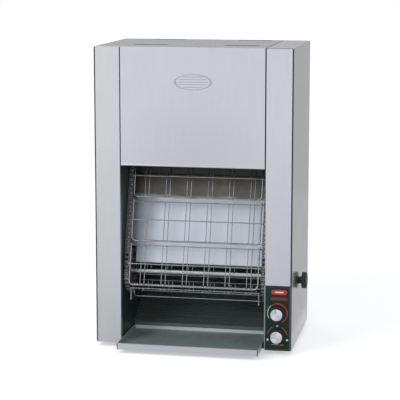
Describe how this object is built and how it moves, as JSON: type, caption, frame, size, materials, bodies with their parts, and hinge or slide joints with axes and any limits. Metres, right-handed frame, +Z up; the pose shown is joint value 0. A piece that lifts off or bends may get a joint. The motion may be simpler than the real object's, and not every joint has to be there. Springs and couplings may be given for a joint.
{
  "type": "conveyor toaster",
  "caption": "Upright counter-top conveyor toaster: wire baskets on roller chains carry bread up behind a hood, and toast slides out into a pan at the foot.",
  "frame": {"origin": "centre of the overall box, on the plane that the feet stand on", "axes": "+Z up, +X to the right as seen from the front, +Y from the loading side to the back"},
  "size_m": [0.586, 0.456, 0.862],
  "materials": {
    "stainless_front": "fine brushed, vertical grain",
    "stainless_side": "polished",
    "stainless_top": "satin",
    "housing_dark": "dark heat-stained steel",
    "panel_green_black": "satin, printed dial scales",
    "bright_wire": "bright plated wire",
    "chain_steel": "oiled",
    "shaft_steel": "ground",
    "gear_steel": "machined",
    "baffle_steel": "bright",
    "bearing_bronze": "sintered",
    "motor_paint": "satin",
    "plated_steel": "zinc plated",
    "heater_sheath": "heat-tinted",
    "black_plastic": "moulded",
    "ivory_plastic": "moulded",
    "control_body": "moulded",
    "dial_aluminium": "spun and brushed",
    "foot_rubber": "moulded",
    "pan_steel": "satin"
  },
  "bodies": {
    "casing": {"left_side_panel": "stainless_side", "right_side_panel": "stainless_side", "left_front_cover": "stainless_front", "right_front_cover": "stainless_front", "hood_panel": "stainless_front", "top_cover": "stainless_top", "rear_panel": "stainless_top", "base_plate": "plated_steel", "feet": "foot_rubber", "casing_screws": "plated_steel", "left_inner_wall": "housing_dark", "right_inner_wall": "housing_dark", "left_chain_guides": "plated_steel", "right_chain_guides": "plated_steel", "control_panel": "panel_green_black", "cord_gland": "black_plastic", "terminal_block": "ivory_plastic", "shaft_bearings": "bearing_bronze", "gearmotor": "motor_paint", "motor_bracket": "plated_steel", "front_heaters": "heater_sheath", "centre_heaters": "heater_sheath", "front_reflector": "plated_steel", "rear_reflector": "plated_steel", "centre_baffle": "baffle_steel", "toast_chute": "housing_dark", "colour_control": "control_body", "power_switch": "control_body"},
    "lower_shaft_set": {"lower_shaft": "shaft_steel", "lower_left_sprocket": "gear_steel", "lower_right_sprocket": "gear_steel", "lower_left_chain": "chain_steel", "lower_right_chain": "chain_steel", "basket_11": "bright_wire", "drive_gear": "gear_steel"},
    "upper_shaft_set": {"upper_shaft": "shaft_steel", "upper_left_sprocket": "gear_steel", "upper_right_sprocket": "gear_steel", "upper_left_chain": "chain_steel", "upper_right_chain": "chain_steel", "basket_5": "bright_wire", "basket_6": "bright_wire"},
    "front_run": {"front_left_chain": "chain_steel", "front_right_chain": "chain_steel", "basket_1": "bright_wire", "basket_2": "bright_wire", "basket_3": "bright_wire", "basket_4": "bright_wire"},
    "rear_run": {"rear_left_chain": "chain_steel", "rear_right_chain": "chain_steel", "basket_7": "bright_wire", "basket_8": "bright_wire", "basket_9": "bright_wire", "basket_10": "bright_wire"},
    "hand_drive": {"drive_shaft": "shaft_steel", "pinion": "gear_steel", "hand_knob": "black_plastic"},
    "pan": {"toast_pan": "pan_steel"},
    "colour_knob": {"colour_dial": "dial_aluminium"},
    "power_knob": {"power_dial": "dial_aluminium"}
  },
  "joints": [
    {"name": "conveyor_turn", "type": "hinge", "parent": "casing", "child": "lower_shaft_set", "pos_m": [-0.012, -0.0713, 0.2064], "axis": [-1, 0, 0], "range_deg": [-12, 36]},
    {"name": "upper_shaft_turn", "type": "hinge", "parent": "casing", "child": "upper_shaft_set", "pos_m": [-0.012, 0.06872, 0.69472], "axis": [-1, 0, 0], "range_deg": [-12.05, 36.05]},
    {"name": "front_run_travel", "type": "slide", "parent": "casing", "child": "front_run", "axis": [0, 0.2756, 0.9613], "range_m": [-0.01272, 0.03812]},
    {"name": "rear_run_travel", "type": "slide", "parent": "casing", "child": "rear_run", "axis": [0, -0.2756, -0.9613], "range_m": [-0.01272, 0.03812]},
    {"name": "hand_drive_turn", "type": "hinge", "parent": "casing", "child": "hand_drive", "pos_m": [0.272, 0.01741, 0.1785], "axis": [-1, 0, 0], "range_deg": [-72.1, 24.1]},
    {"name": "pan_slide", "type": "slide", "parent": "casing", "child": "pan", "axis": [0, -1, 0], "range_m": [0, 0.16]},
    {"name": "colour_dial_turn", "type": "hinge", "parent": "casing", "child": "colour_knob", "pos_m": [0.2316, -0.16, 0.12], "axis": [0, 1, 0], "range_deg": [-135, 135]},
    {"name": "power_dial_turn", "type": "hinge", "parent": "casing", "child": "power_knob", "pos_m": [0.2316, -0.16, 0.0554], "axis": [0, 1, 0], "range_deg": [0, 180]}
  ],
  "couplings": [
    {"joint": "upper_shaft_turn", "follows": "conveyor_turn", "ratio": 1},
    {"joint": "front_run_travel", "follows": "conveyor_turn", "m_per_rad": 0.060638},
    {"joint": "rear_run_travel", "follows": "conveyor_turn", "m_per_rad": 0.060638},
    {"joint": "hand_drive_turn", "follows": "conveyor_turn", "ratio": -2}
  ]
}
